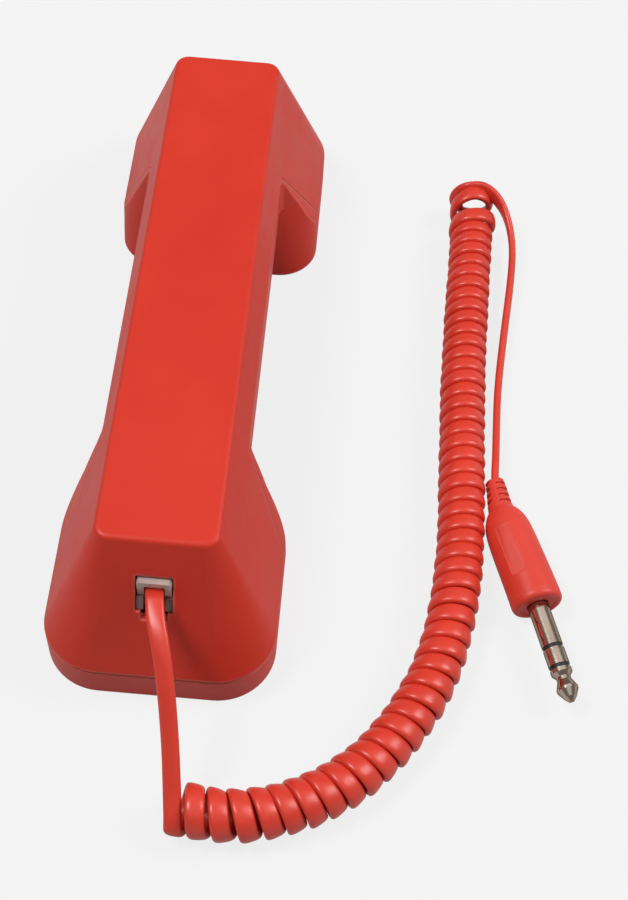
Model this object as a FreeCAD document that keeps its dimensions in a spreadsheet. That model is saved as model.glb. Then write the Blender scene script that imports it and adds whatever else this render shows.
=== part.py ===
import FreeCAD, Part
import math
import os
import re
import Sketcher

# Hand-held fire telephone with a curly cord and a 6.35 mm three-pole plug.
# The handset lies on its cups with the flat spine up. +Y runs to the ear end,
# +X to the side where the cord lies, and the origin is on the table below the
# middle of the handset. All sizes are in millimetres.

SIZES = {
    # handset, outside
    "overall_length": 222.0,
    "overall_width": 67.0,
    "overall_height": 56.0,
    "end_setback": 19.0,
    "side_setback": 16.75,
    "rim_height": 12.0,
    "corner_radius": 17.0,
    "spine_corner_radius": 4.0,
    "spine_edge_radius": 1.6,
    "cup_length": 62.5,
    "cup_corner_radius": 13.0,
    "cup_shoulder_radius": 24.0,
    "waist_depth": 12.5,
    "handle_depth": 26.0,
    "waist_radius": 4.0,
    "wall": 2.4,
    "seam_start": 4.0,
    "seam_end": 19.5,
    "seam_drop": 0.6,
    "groove_depth": 0.5,
    "groove_height": 0.8,
    "face_recess": 0.7,
    # screws and their posts
    "screw_side_inset": 11.5,
    "screw_end_inset": 12.0,
    "screw_diameter": 3.0,
    "screw_head_diameter": 5.6,
    "screw_head_height": 2.2,
    "screw_length": 16.0,
    "post_diameter": 7.6,
    "post_height": 9.0,
    # ear and mouth cups
    "capsule_inset": 31.0,
    "ear_recess_diameter": 44.0,
    "mouth_recess_diameter": 30.0,
    "hole_diameter": 2.2,
    "hole_ring_step": 5.5,
    "mouth_hole_diameter": 1.6,
    "mouth_ring_step": 3.2,
    "receiver_diameter": 37.0,
    "receiver_depth": 9.0,
    "receiver_wall": 1.2,
    "magnet_diameter": 18.0,
    "magnet_height": 4.5,
    "voice_coil_diameter": 21.0,
    "diaphragm_thickness": 0.4,
    "gasket_thickness": 1.2,
    "gasket_width": 3.0,
    "cloth_thickness": 0.4,
    "cloth_clearance": 0.3,
    "seat_rib": 1.6,
    "seat_rib_height": 7.0,
    "seat_clearance": 0.2,
    "press_rib_width": 20.0,
    "press_rib": 2.0,
    "microphone_diameter": 9.7,
    "microphone_height": 6.5,
    "boot_wall": 1.7,
    "boot_height": 8.0,
    # circuit board
    "board_inset": 34.0,
    "board_length": 34.0,
    "board_side_gap": 11.5,
    "board_thickness": 1.6,
    "board_post_diameter": 5.0,
    "board_post_inset": 5.0,
    "board_post_step": 12.0,
    "board_screw_diameter": 2.2,
    "board_screw_head": 4.4,
    "board_screw_length": 8.0,
    # modular socket and plug
    "opening_drop": 16.8,
    "opening_width": 10.4,
    "opening_height": 11.4,
    "notch_width": 7.6,
    "notch_height": 2.6,
    "socket_width": 13.2,
    "socket_height": 15.0,
    "socket_inset": 18.4,
    "socket_depth": 14.0,
    "plug_lift": 1.8,
    "plug_width": 9.65,
    "plug_height": 6.6,
    "plug_length": 12.3,
    "plug_inset": 11.4,
    "plug_clearance": 0.15,
    "contact_pitch": 1.02,
    "contact_width": 0.4,
    "contact_thickness": 0.35,
    "contact_slot": 0.6,
    "contact_slot_depth": 1.0,
    "contact_slot_length": 7.0,
    "blade_height": 3.9,
    "latch_width": 3.2,
    "latch_length": 11.2,
    "latch_thickness": 1.0,
    "latch_drop": 2.0,
    "latch_gap": 0.06,
    # leads inside the handset
    "lead_diameter": 1.2,
    # cord
    "cord_diameter": 4.4,
    "cord_sides": 6.0,
    "coil_diameter": 13.8,
    "coil_turns": 52.0,
    "floor_clearance": 0.1,
    # jack plug
    "jack_diameter": 6.35,
    "sleeve_length": 13.4,
    "ring_length": 5.2,
    "insulator_length": 1.2,
    "insulator_inset": 0.25,
    "tip_length": 10.0,
    "tip_neck_diameter": 4.3,
    "rod_diameter": 1.6,
    "tube_diameter": 3.2,
    "film": 0.5,
    "flange_diameter": 9.0,
    "flange_length": 3.0,
    "front_wall": 1.5,
    "neck_inset": 0.3,
    "grip_diameter": 15.5,
    "grip_length": 34.0,
    "grip_edge": 1.2,
    "grip_rear_diameter": 9.2,
    "grip_shoulder": 10.0,
    "grip_wall": 2.6,
    "grip_cavity": 22.0,
    "relief_length": 10.0,
    "relief_base_diameter": 7.8,
    "relief_end_diameter": 5.6,
    "relief_slot": 1.0,
    "relief_pitch": 2.4,
    "label_length": 17.0,
    "label_width": 6.6,
    "label_depth": 0.5,
    "label_start": 8.5,
    "jack_side": 109.4,
    "jack_reach": 75.6,
    "jack_turn": -72.2,
}

# Sizes and places that follow from the ones above
DERIVED = {
    "spine_length": "overall_length - 2*end_setback",
    "spine_width": "overall_width - 2*side_setback",
    "cup_gap": "overall_length - 2*cup_length",
    "handle_width": "overall_width - 2*waist_depth",
    "handle_underside": "overall_height - handle_depth",
    "screw_side": "overall_width/2 - screw_side_inset",
    "screw_reach": "overall_length/2 - screw_end_inset",
    "capsule_reach": "overall_length/2 - capsule_inset",
    "board_reach": "overall_length/2 - board_inset",
    "board_width": "overall_width - 2*board_side_gap",
    "board_post_side": "board_width/2 - board_post_inset",
    "opening_centre": "overall_height - opening_drop",
    "socket_front": "overall_length/2 - socket_inset",
    "plug_centre": "overall_height - opening_drop + plug_lift",
    "plug_rear": "overall_length/2 - plug_inset",
}

doc = FreeCAD.newDocument("FireTelephone")


def make_sheet():
    """The driving sizes, one aliased cell each."""
    sheet = doc.addObject("Spreadsheet::Sheet", "Sizes")
    for row, (alias, number) in enumerate(SIZES.items(), 1):
        sheet.set("A%d" % row, alias.replace("_", " "))
        sheet.set("B%d" % row, repr(number))
        sheet.setAlias("B%d" % row, alias)
    doc.recompute()
    for row, (alias, formula) in enumerate(DERIVED.items(), len(SIZES) + 1):
        sheet.set("A%d" % row, alias.replace("_", " "))
        sheet.set("B%d" % row, "=" + formula)
        sheet.setAlias("B%d" % row, alias)
    doc.recompute()
    return sheet


sheet = make_sheet()


def size(alias):
    """A driving size as a number."""
    return float(sheet.get(alias))


def linked(text):
    """Expression text with each alias pointed at the sheet."""
    def point(word):
        known = word.group() in SIZES or word.group() in DERIVED
        return ("Sizes." if known else "") + word.group()
    return re.sub(r"[a-z_]+", point, text)


def bind(thing, path, text):
    thing.setExpression(path, linked(text))


def place(thing, x="0", y="0", z="0"):
    for axis, text in (("x", x), ("y", y), ("z", z)):
        bind(thing, "Placement.Base." + axis, text)
    return thing


def box(name, length, width, height, x, y, z):
    """A block whose low corner is at x, y, z."""
    block = doc.addObject("Part::Box", name)
    bind(block, "Length", length)
    bind(block, "Width", width)
    bind(block, "Height", height)
    return place(block, x, y, z)


def cylinder(name, diameter, height, x, y, z):
    """An upright cylinder whose foot is at x, y, z."""
    round_bar = doc.addObject("Part::Cylinder", name)
    bind(round_bar, "Radius", "(%s)/2" % diameter)
    bind(round_bar, "Height", height)
    return place(round_bar, x, y, z)


def fuse(name, shapes):
    joined = doc.addObject("Part::MultiFuse", name)
    joined.Shapes = shapes
    joined.Refine = True
    return joined


def common(name, shapes):
    shared = doc.addObject("Part::MultiCommon", name)
    shared.Shapes = shapes
    return shared


def cut(name, base, tools):
    """The base less its tools, which are fused first when there are several."""
    tool = tools[0] if len(tools) == 1 else fuse(name + "_tools", tools)
    rest = doc.addObject("Part::Cut", name)
    rest.Base = base
    rest.Tool = tool
    return rest


def compound(name, shapes):
    group = doc.addObject("Part::Compound", name)
    group.Links = shapes
    return group


def round_edges(name, base, radii):
    """Fillets; radii lists pairs of a test for an edge and the radius for it."""
    doc.recompute()
    fillet = doc.addObject("Part::Fillet", name)
    fillet.Base = base
    picked = []
    for number, edge in enumerate(base.Shape.Edges, 1):
        for test, radius in radii:
            if test(edge):
                picked.append((number, radius, radius))
                break
    fillet.Edges = picked
    return fillet


def upright_at(x, y):
    """Test for an upright edge at plus or minus x, plus or minus y."""
    def test(edge):
        ends = [vertex.Point for vertex in edge.Vertexes]
        if len(ends) != 2 or abs(ends[0].z - ends[1].z) < 1.0:
            return False
        return all(abs(abs(p.x) - x) < 0.01 and abs(abs(p.y) - y) < 0.01 for p in ends)
    return test


def polygon_sketch(name, points, plane="XY"):
    """A closed outline whose corners are bound, two expressions each."""
    sketch = doc.addObject("Sketcher::SketchObject", name)
    if plane == "YZ":
        sketch.Placement.Rotation = FreeCAD.Rotation(FreeCAD.Vector(1, 1, 1), 120)
    count = len(points)
    guess = [FreeCAD.Vector(math.cos(6.28 * i / count), math.sin(6.28 * i / count), 0)
             for i in range(count)]
    for i in range(count):
        sketch.addGeometry(Part.LineSegment(guess[i], guess[(i + 1) % count]))
    for i in range(count):
        sketch.addConstraint(Sketcher.Constraint("Coincident", i, 2, (i + 1) % count, 1))
    for i, (x, y) in enumerate(points):
        for kind, axis, text in (("DistanceX", -2, x), ("DistanceY", -1, y)):
            if text == "0":
                sketch.addConstraint(Sketcher.Constraint("PointOnObject", i, 1, axis))
            else:
                number = sketch.addConstraint(Sketcher.Constraint(kind, -1, 1, i, 1, 1.0 + i))
                bind(sketch, "Constraints[%d]" % number, text)
    return sketch


def turned(name, points):
    """A solid of revolution about X from an outline of x and radius."""
    sketch = polygon_sketch(name + "_profile", points)
    solid = doc.addObject("Part::Revolution", name)
    solid.Source = sketch
    solid.Axis = FreeCAD.Vector(1, 0, 0)
    solid.Angle = 360
    solid.Solid = True
    return solid


def rounded_rectangle(name, length, width, radius, height, middle="0"):
    """A rounded rectangle at a height; length runs along Y, about a middle."""
    sketch = doc.addObject("Sketcher::SketchObject", name)
    place(sketch, "0", middle, height)
    x, y, r = 30.0, 90.0, 5.0
    corners = [(x - r, y - r, 0), (-x + r, y - r, 90), (-x + r, -y + r, 180), (x - r, -y + r, 270)]
    for centre_x, centre_y, start in corners:
        circle = Part.Circle(FreeCAD.Vector(centre_x, centre_y, 0), FreeCAD.Vector(0, 0, 1), r)
        sketch.addGeometry(Part.ArcOfCircle(circle, math.radians(start), math.radians(start + 90)))
    for i in range(4):
        a = sketch.getPoint(i, 2)
        b = sketch.getPoint((i + 1) % 4, 1)
        sketch.addGeometry(Part.LineSegment(a, b))
    for i in range(4):
        sketch.addConstraint(Sketcher.Constraint("Tangent", i, 2, 4 + i, 1))
        sketch.addConstraint(Sketcher.Constraint("Tangent", 4 + i, 2, (i + 1) % 4, 1))
        sketch.addConstraint(Sketcher.Constraint("Horizontal" if i % 2 == 0 else "Vertical", 4 + i))
    for i in range(3):
        sketch.addConstraint(Sketcher.Constraint("Equal", i, i + 1))
    number = sketch.addConstraint(Sketcher.Constraint("Radius", 0, r))
    bind(sketch, "Constraints[%d]" % number, radius)
    measures = [(("DistanceY", -1, 1, 4, 1, y), length), (("DistanceX", -1, 1, 7, 1, x), width),
                (("DistanceY", 6, 1, -1, 1, y), length), (("DistanceX", 5, 1, -1, 1, x), width)]
    for rule, text in measures:
        number = sketch.addConstraint(Sketcher.Constraint(*rule))
        bind(sketch, "Constraints[%d]" % number, "(%s)/2" % text)
    return sketch


def mirrored(name, source, normal):
    twin = doc.addObject("Part::Mirroring", name)
    twin.Source = source
    twin.Base = FreeCAD.Vector()
    twin.Normal = FreeCAD.Vector(*normal)
    return twin


def extruded(name, sketch, direction, length):
    """A sketch pushed along a direction; the length is an expression."""
    solid = doc.addObject("Part::Extrusion", name)
    solid.Base = sketch
    solid.DirMode = "Custom"
    solid.Dir = FreeCAD.Vector(*direction)
    bind(solid, "LengthFwd", length)
    solid.Solid = True
    return solid


SIDE_SLOPE = "(side_setback/(overall_height - rim_height))"
END_SLOPE = "(end_setback/(overall_height - rim_height))"


def waist_sketch(name, inset):
    """The hollow beside the handle, seen from above, on the +X side."""
    sketch = doc.addObject("Sketcher::SketchObject", name)
    bind(sketch, "Placement.Base.z", "handle_underside + %s" % inset)
    drawn_in = size(inset) if inset in SIZES else 0.0
    handle = size("handle_width") / 2 - drawn_in
    side = size("overall_width") / 2 - drawn_in
    r1 = size("cup_shoulder_radius") - drawn_in
    r2 = size("waist_radius") + drawn_in
    y1 = size("cup_gap") / 2 + size("cup_shoulder_radius")
    dx = handle + r2 - side + r1
    dy = math.sqrt((r1 + r2) ** 2 - dx ** 2)
    y2 = y1 - dy
    turn = math.atan2(dy, -dx)
    far = 2 * side
    up = FreeCAD.Vector(0, 0, 1)

    def arc(x, y, radius, start, stop):
        return Part.ArcOfCircle(Part.Circle(FreeCAD.Vector(x, y, 0), up, radius), start, stop)

    def line(x, y, to_x, to_y):
        return Part.LineSegment(FreeCAD.Vector(x, y, 0), FreeCAD.Vector(to_x, to_y, 0))
    sketch.addGeometry(line(handle, -y2, handle, y2))
    sketch.addGeometry(arc(handle + r2, y2, r2, turn, math.pi))
    sketch.addGeometry(arc(side - r1, y1, r1, turn - math.pi, 0))
    sketch.addGeometry(line(side, y1, far, y1))
    sketch.addGeometry(line(far, y1, far, -y1))
    sketch.addGeometry(line(far, -y1, side, -y1))
    sketch.addGeometry(arc(side - r1, -y1, r1, 0, math.pi - turn))
    sketch.addGeometry(arc(handle + r2, -y2, r2, math.pi, 2 * math.pi - turn))
    rules = [("Tangent", 0, 2, 1, 2), ("Tangent", 1, 1, 2, 1), ("Coincident", 2, 2, 3, 1),
             ("Coincident", 3, 2, 4, 1), ("Coincident", 4, 2, 5, 1), ("Coincident", 5, 2, 6, 1),
             ("Tangent", 6, 2, 7, 2), ("Tangent", 7, 1, 0, 1), ("PointOnObject", 2, 3, 3),
             ("PointOnObject", 6, 3, 5), ("Vertical", 0), ("Vertical", 4), ("Horizontal", 3),
             ("Horizontal", 5)]
    for rule in rules:
        sketch.addConstraint(Sketcher.Constraint(*rule))
    measures = [(("Radius", 2, r1), "cup_shoulder_radius - %s" % inset),
                (("Radius", 6, r1), "cup_shoulder_radius - %s" % inset),
                (("Radius", 1, r2), "waist_radius + %s" % inset),
                (("Radius", 7, r2), "waist_radius + %s" % inset),
                (("DistanceX", -1, 1, 0, 1, handle), "handle_width/2 - %s" % inset),
                (("DistanceX", -1, 1, 2, 2, side), "overall_width/2 - %s" % inset),
                (("DistanceX", -1, 1, 6, 1, side), "overall_width/2 - %s" % inset),
                (("DistanceY", -1, 1, 2, 2, y1), "cup_gap/2 + cup_shoulder_radius"),
                (("DistanceY", 6, 1, -1, 1, y1), "cup_gap/2 + cup_shoulder_radius"),
                (("DistanceX", -1, 1, 4, 1, far), "overall_width - 2*%s" % inset)]
    for rule, text in measures:
        bind(sketch, "Constraints[%d]" % sketch.addConstraint(Sketcher.Constraint(*rule)), text)
    return sketch


def roof_solid(name, rim, spine):
    """A block between two outlines, one above the other: flat sides and ruled corners."""
    doc.recompute()

    centre = rim.Shape.BoundBox.Center

    def quarter(edge):
        middle = edge.valueAt((edge.FirstParameter + edge.LastParameter) / 2) - centre
        return tuple(0 if abs(v) < 0.01 else math.copysign(1, v) for v in (middle.x, middle.y))
    above = {quarter(edge): edge for edge in spine.Shape.Edges}
    faces = [Part.Face(rim.Shape.Wires[0]), Part.Face(spine.Shape.Wires[0])]
    for low in rim.Shape.Edges:
        high = above[quarter(low)]
        if 0 in quarter(low):
            a, b = [v.Point for v in low.Vertexes]
            c, d = sorted((v.Point for v in high.Vertexes), key=lambda q: (q - b).Length)
            faces.append(Part.Face(Part.makePolygon([a, b, c, d, a])))
        else:
            faces.append(Part.makeRuledSurface(low, high))
    shell = Part.makeShell(faces)
    shell.sewShape()
    solid = Part.makeSolid(Part.Shell(shell.Faces))
    roof = doc.addObject("Part::Feature", name)
    roof.Shape = solid if solid.Volume > 0 else solid.reversed()
    return roof


def handset_block(name, inset):
    """The handset as a solid block, drawn in on every side by the inset."""
    lean = "(%s*(sqrt(1 + %s^2) - %s))"
    side_lean = lean % (inset, SIDE_SLOPE, SIDE_SLOPE)
    end_lean = lean % (inset, END_SLOPE, END_SLOPE)
    drawn_in = size(inset) if inset in SIZES else 0.0
    rim = rounded_rectangle(name + "_rim", "overall_length - 2*%s" % inset,
                            "overall_width - 2*%s" % inset, "corner_radius - %s" % inset, "rim_height")
    spine = rounded_rectangle(name + "_spine", "spine_length - 2*%s" % end_lean,
                              "spine_width - 2*%s" % side_lean,
                              "spine_corner_radius - 0.5*%s" % inset, "overall_height - %s" % inset)
    roof = roof_solid(name + "_roof", rim, spine)
    skirt = extruded(name + "_skirt", rim, (0, 0, -1), "rim_height - %s" % inset)
    whole = fuse(name + "_whole", [roof, skirt])
    outlines = []
    for level, radius, height in (("foot", "cup_corner_radius", "0"),
                                  ("shoulder", "cup_shoulder_radius", "handle_underside")):
        outlines.append(rounded_rectangle(
            name + "_" + level, "1.5*cup_length - 2*%s" % inset, "overall_width - 2*%s" % inset,
            "%s - %s" % (radius, inset), "%s + %s" % (height, inset), "cup_gap/2 + 0.75*cup_length"))
    ear_cup = roof_solid(name + "_ear_cup", *outlines)
    mouth_cup = mirrored(name + "_mouth_cup", ear_cup, (0, 1, 0))
    slab = box(name + "_slab", "overall_width - 2*%s" % inset, "overall_length + 2",
               "overall_height - handle_underside", "-overall_width/2 + %s" % inset,
               "-overall_length/2 - 1", "handle_underside + %s" % inset)
    right = extruded(name + "_right", waist_sketch(name + "_waist", inset), (0, 0, 1), "overall_height")
    left = mirrored(name + "_left", right, (1, 0, 0))
    plan = fuse(name + "_plan", [cut(name + "_handle", slab, [right, left]), ear_cup, mouth_cup])
    return common(name + "_block", [whole, plan])


outer = handset_block("outer", "0")
EAR = "capsule_reach"
MOUTH = "-capsule_reach"
NODES = []


def node(thing, name):
    """Names a finished piece and puts it on the list of files."""
    thing.Label = name
    NODES.append(thing)
    return thing


# Shells: the hollow block is parted along the lower edge of the slanted roof
outer_roof_edges = round_edges("outer_soft", outer, [(
    lambda edge: all(abs(v.Point.z - size("overall_height")) < 0.01 for v in edge.Vertexes),
    size("spine_edge_radius"))])
inner = handset_block("inner", "wall")
groove_block = handset_block("groove", "groove_depth")


def upper_side(name, drop):
    """All that lies on the spine's side of the parting line, lowered by a drop."""
    depth = "(handle_width/2 - 2.5*wall)"

    def square_on(height):
        """Where a line square to the slanted side, from a height on it, passes the depth."""
        return "(%s - %s*(overall_width/2 - %s) + (%s - rim_height)*%s^2)" % (
            height, SIDE_SLOPE, depth, height, SIDE_SLOPE)
    start, reach = "(cup_gap/2 + seam_start)", "(cup_gap/2 + seam_end)"
    low = square_on("(rim_height + waist_depth/%s - seam_drop)" % SIDE_SLOPE)
    rim = square_on("rim_height")
    outline = polygon_sketch(name + "_outline", [
        ("-" + reach, rim), ("-" + start, low), (start, low), (reach, rim), (reach, "2*overall_height"),
        ("-" + reach, "2*overall_height")], "YZ")
    lean = size("side_setback") / (size("overall_height") - size("rim_height"))
    half = place(extruded(name + "_half", outline, (1, 0, lean), "overall_width"), depth, "0", "-%s" % drop)
    other = mirrored(name + "_other", half, (1, 0, 0))
    top = box(name + "_top", "2*overall_width", "2*" + reach, "overall_height", "-overall_width",
              "-" + reach, "overall_height - 4*wall")
    ends = [box(name + tag, "2*overall_width", "overall_length", "2*overall_height", "-overall_width",
                start_y, "rim_height - %s" % drop)
            for tag, start_y in (("_ear", reach), ("_mouth", "-%s - overall_length" % reach))]
    return fuse(name, [half, other, top] + ends)


upper = upper_side("upper", "0")
lowered = upper_side("lowered", "groove_height")
hollow = cut("hollow", outer_roof_edges, [inner])
rear_skin = common("rear_skin", [hollow, upper])
band = cut("groove_band", cut("groove_slice", lowered, [upper]), [groove_block])
front_skin = cut("front_skin", hollow, [upper, band])


def at_corners(name, make):
    """Four like shapes at the corner screws; make(name, x, y) gives one."""
    shapes = []
    for i, (x, y) in enumerate((("screw_side", "screw_reach"), ("-screw_side", "screw_reach"),
                                ("-screw_side", "-screw_reach"), ("screw_side", "-screw_reach"))):
        shapes.append(make("%s_%d" % (name, i + 1), x, y))
    return shapes


# Rear shell: spine, slanted sides, screw posts, board posts and press ribs
rear_posts = at_corners("rear_post", lambda name, x, y: cylinder(
    name, "post_diameter", "overall_height", x, y, "post_height"))
board_top = "opening_centre - socket_height/2"
board_posts = []
for i, (x, y) in enumerate(((1, 1), (-1, 1), (-1, -1), (1, -1))):
    board_posts.append(cylinder("board_post_%d" % (i + 1), "board_post_diameter", "overall_height",
                                "%d*board_post_side" % x, "-board_reach + %d*board_post_step" % y,
                                board_top))
receiver_back = "wall + cloth_thickness + gasket_thickness + diaphragm_thickness + receiver_depth"
press_ribs = [box("press_rib_across", "press_rib_width", "press_rib", "overall_height",
                  "-press_rib_width/2", EAR + " - press_rib/2", receiver_back),
              box("press_rib_along", "press_rib", "press_rib_width", "overall_height",
                  "-press_rib/2", EAR + " - press_rib_width/2", receiver_back)]
rear_inside = common("rear_inside", [fuse("rear_columns", rear_posts + board_posts + press_ribs),
                                     groove_block])
screw_holes = at_corners("screw_hole", lambda name, x, y: cylinder(
    name, "screw_diameter", "screw_length", x, y, "screw_head_height"))
board_screw_holes = []
for i, (x, y) in enumerate(((1, 1), (-1, 1), (-1, -1), (1, -1))):
    board_screw_holes.append(cylinder(
        "board_screw_hole_%d" % (i + 1), "board_screw_diameter", "board_screw_length",
        "%d*board_post_side" % x, "-board_reach + %d*board_post_step" % y,
        board_top + " - board_thickness"))
opening = box("opening", "opening_width", "overall_length/4", "opening_height", "-opening_width/2",
              "-overall_length/2 - 5", "opening_centre - opening_height/2")
notch = box("notch", "notch_width", "overall_length/4", "notch_height + 1", "-notch_width/2",
            "-overall_length/2 - 5", "opening_centre - opening_height/2 - notch_height")
opening_cut = common("opening_cut", [fuse("opening_all", [opening, notch]),
                                     box("opening_limit", "overall_width", "overall_length/2 - socket_front",
                                         "overall_height", "-overall_width/2", "-overall_length/2", "0")])
rear_shell = node(cut("rear_shell", fuse("rear_solid", [rear_skin, rear_inside]),
                      screw_holes + board_screw_holes + [opening_cut]), "rear_shell")

# Front shell: cups and handle underside, capsule seats, screw posts and sound holes
front_posts = at_corners("front_post", lambda name, x, y: cylinder(
    name, "post_diameter", "post_height - wall/2", x, y, "wall/2"))
ear_seat = cut("ear_seat", cylinder(
    "ear_seat_outer", "(receiver_diameter + 2*seat_clearance + 2*seat_rib)",
    "seat_rib_height + wall/2", "0", EAR, "wall/2"), [
    cylinder("ear_seat_inner", "(receiver_diameter + 2*seat_clearance)", "overall_height", "0", EAR, "0")])
boot_diameter = "(microphone_diameter + 2*boot_wall)"
mouth_seat = cut("mouth_seat", cylinder(
    "mouth_seat_outer", "(%s + 2*seat_clearance + 2*seat_rib)" % boot_diameter,
    "seat_rib_height + wall/2", "0", MOUTH, "wall/2"), [
    cylinder("mouth_seat_inner", "(%s + 2*seat_clearance)" % boot_diameter, "overall_height",
             "0", MOUTH, "0")])


def sound_holes(name, y, diameter, rings):
    """A centre hole and rings of holes; rings lists a count and a radius."""
    holes = [cylinder(name + "_hole_0", diameter, "2*wall", "0", y, "-wall/2")]
    for count, radius in rings:
        for i in range(count):
            turn = 360.0 * i / count
            holes.append(cylinder("%s_hole_%d" % (name, len(holes)), diameter, "2*wall",
                                  "(%s)*cos(%s deg)" % (radius, turn),
                                  "%s + (%s)*sin(%s deg)" % (y, radius, turn), "-wall/2"))
    return holes


ear_holes = sound_holes("ear", EAR, "hole_diameter", ((6, "hole_ring_step"), (12, "2*hole_ring_step")))
mouth_holes = sound_holes("mouth", MOUTH, "mouth_hole_diameter", ((6, "mouth_ring_step"),))
recesses = [cylinder("ear_recess", "ear_recess_diameter", "face_recess + 1", "0", EAR, "-1"),
            cylinder("mouth_recess", "mouth_recess_diameter", "face_recess + 1", "0", MOUTH, "-1")]
head_holes = at_corners("head_hole", lambda name, x, y: cylinder(
    name, "screw_head_diameter", "screw_head_height + 1", x, y, "-1"))
front_shell = node(cut("front_shell", fuse("front_solid", [front_skin, ear_seat, mouth_seat] + front_posts),
                       screw_holes + head_holes + ear_holes + mouth_holes + recesses), "front_shell")

# Screws
head_slots = at_corners("head_slot", lambda name, x, y: box(
    name, "screw_head_diameter - 2", "screw_head_height/3", "screw_head_height/2",
    x + " - screw_head_diameter/2 + 1", y + " - screw_head_height/6", "0.2"))
screw_shanks = at_corners("screw_shank", lambda name, x, y: cylinder(
    name, "screw_diameter", "screw_length", x, y, "screw_head_height"))
screw_heads = at_corners("screw_head", lambda name, x, y: cylinder(
    name, "screw_head_diameter - 0.2", "screw_head_height - 0.3", x, y, "0.3"))
shell_screws = node(cut("shell_screws", fuse("screw_blanks", screw_shanks + screw_heads), head_slots),
                    "shell_screws")
board_screw_parts = []
for i, (x, y) in enumerate(((1, 1), (-1, 1), (-1, -1), (1, -1))):
    where = ("%d*board_post_side" % x, "-board_reach + %d*board_post_step" % y)
    under = board_top + " - board_thickness"
    board_screw_parts.append(cylinder("board_screw_%d" % (i + 1), "board_screw_diameter",
                                      "board_screw_length", where[0], where[1], under))
    board_screw_parts.append(cylinder("board_screw_head_%d" % (i + 1), "board_screw_head",
                                      "board_thickness", where[0], where[1], under + " - board_thickness"))
board_screws = node(fuse("board_screws", board_screw_parts), "board_screws")

# Receiver, from the ear holes upward
ear_cloth = node(cylinder("ear_cloth", "(receiver_diameter - 2*gasket_width - 2*cloth_clearance)",
                          "cloth_thickness", "0", EAR, "wall"), "ear_cloth")
gasket_outer = cylinder("gasket_outer", "receiver_diameter", "cloth_thickness + gasket_thickness",
                        "0", EAR, "wall")
gasket_inner = cylinder("gasket_inner", "(receiver_diameter - 2*gasket_width)", "overall_height",
                        "0", EAR, "0")
gasket = cut("receiver_gasket", gasket_outer, [gasket_inner])
node(gasket, "receiver_gasket")
disc_foot = "wall + cloth_thickness + gasket_thickness"
disc = cylinder("diaphragm_disc", "receiver_diameter", "diaphragm_thickness", "0", EAR, disc_foot)
former = cut("voice_coil", cylinder("voice_coil_outer", "voice_coil_diameter", "receiver_wall*2", "0", EAR,
                                    disc_foot + " + diaphragm_thickness"),
             [cylinder("voice_coil_inner", "(voice_coil_diameter - 1)", "overall_height", "0", EAR, "0")])
node(fuse("receiver_diaphragm", [disc, former]), "receiver_diaphragm")
basket_foot = disc_foot + " + diaphragm_thickness"
basket_hollow = cylinder("basket_hollow", "(receiver_diameter - 2*receiver_wall)",
                         "receiver_depth - receiver_wall", "0", EAR, basket_foot)
node(cut("receiver_basket", cylinder("basket_outer", "receiver_diameter", "receiver_depth", "0", EAR,
                                     basket_foot), [basket_hollow]), "receiver_basket")
node(cylinder("receiver_magnet", "magnet_diameter", "magnet_height", "0", EAR,
              basket_foot + " + receiver_depth - receiver_wall - magnet_height"), "receiver_magnet")

# Microphone, from the mouth holes upward
node(cylinder("microphone_cloth", "microphone_diameter", "cloth_thickness", "0", MOUTH, "wall"),
     "microphone_cloth")
node(cylinder("microphone_capsule", "microphone_diameter", "microphone_height", "0", MOUTH,
              "wall + cloth_thickness"), "microphone_capsule")
node(cut("microphone_boot", cylinder("boot_outer", boot_diameter, "boot_height", "0", MOUTH, "wall"),
         [cylinder("boot_inner", "microphone_diameter", "overall_height", "0", MOUTH, "0")]),
     "microphone_boot")

# Circuit board with its parts
board = box("board_blank", "board_width", "board_length", "board_thickness", "-board_width/2",
            "-board_reach - board_length/2", board_top + " - board_thickness")
node(cut("circuit_board", board, board_screw_holes), "circuit_board")
parts_y = "-board_reach + board_length/2"
node(compound("board_parts", [
    box("chip", "8", "6", "1.8", "-12", parts_y + " - 12", board_top),
    box("choke", "5", "5", "4", "7", parts_y + " - 13", board_top),
    box("terminal_strip", "12", "3.2", "3", "-6", parts_y + " - 3.4", board_top),
    cylinder("capacitor_1", "5", "7", "-3.5", parts_y + " - 14.5", board_top),
    cylinder("capacitor_2", "5", "7", "3", parts_y + " - 8", board_top)]), "board_parts")

# Modular socket with four spring contacts
socket_foot = board_top
plug_top = "plug_centre + plug_height/2"
socket_body = box("socket_body", "socket_width", "socket_depth", "socket_height", "-socket_width/2",
                  "-socket_front", socket_foot)
plug_front = "(-plug_rear + plug_length)"
cavity = box("socket_cavity", "plug_width + 2*plug_clearance", "plug_rear + 1",
             "plug_height + 2*plug_clearance",
             "-plug_width/2 - plug_clearance", "-plug_rear*2 + plug_length - 0.3",
             "plug_centre - plug_height/2 - plug_clearance")
latch_channel = box("latch_channel", "notch_width - 0.6", "plug_rear + 1", "plug_height",
                    "-notch_width/2 + 0.3", "-plug_rear*2 + plug_length - 0.3",
                    "opening_centre - opening_height/2")
contact_top = "(%s + 1.9)" % plug_top
contact_channel = box("contact_channel", "3*contact_pitch + contact_width + 0.7", "socket_depth",
                      "2.2", "-1.5*contact_pitch - contact_width/2 - 0.35", "-socket_front + 0.7",
                      contact_top + " - 2.2")
node(cut("jack_socket", socket_body, [cavity, latch_channel, contact_channel]), "jack_socket")
blade_top = "(%s - contact_slot_depth)" % plug_top
back = "(-socket_front + socket_depth)"
front = "(-socket_front + 1.2)"
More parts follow.
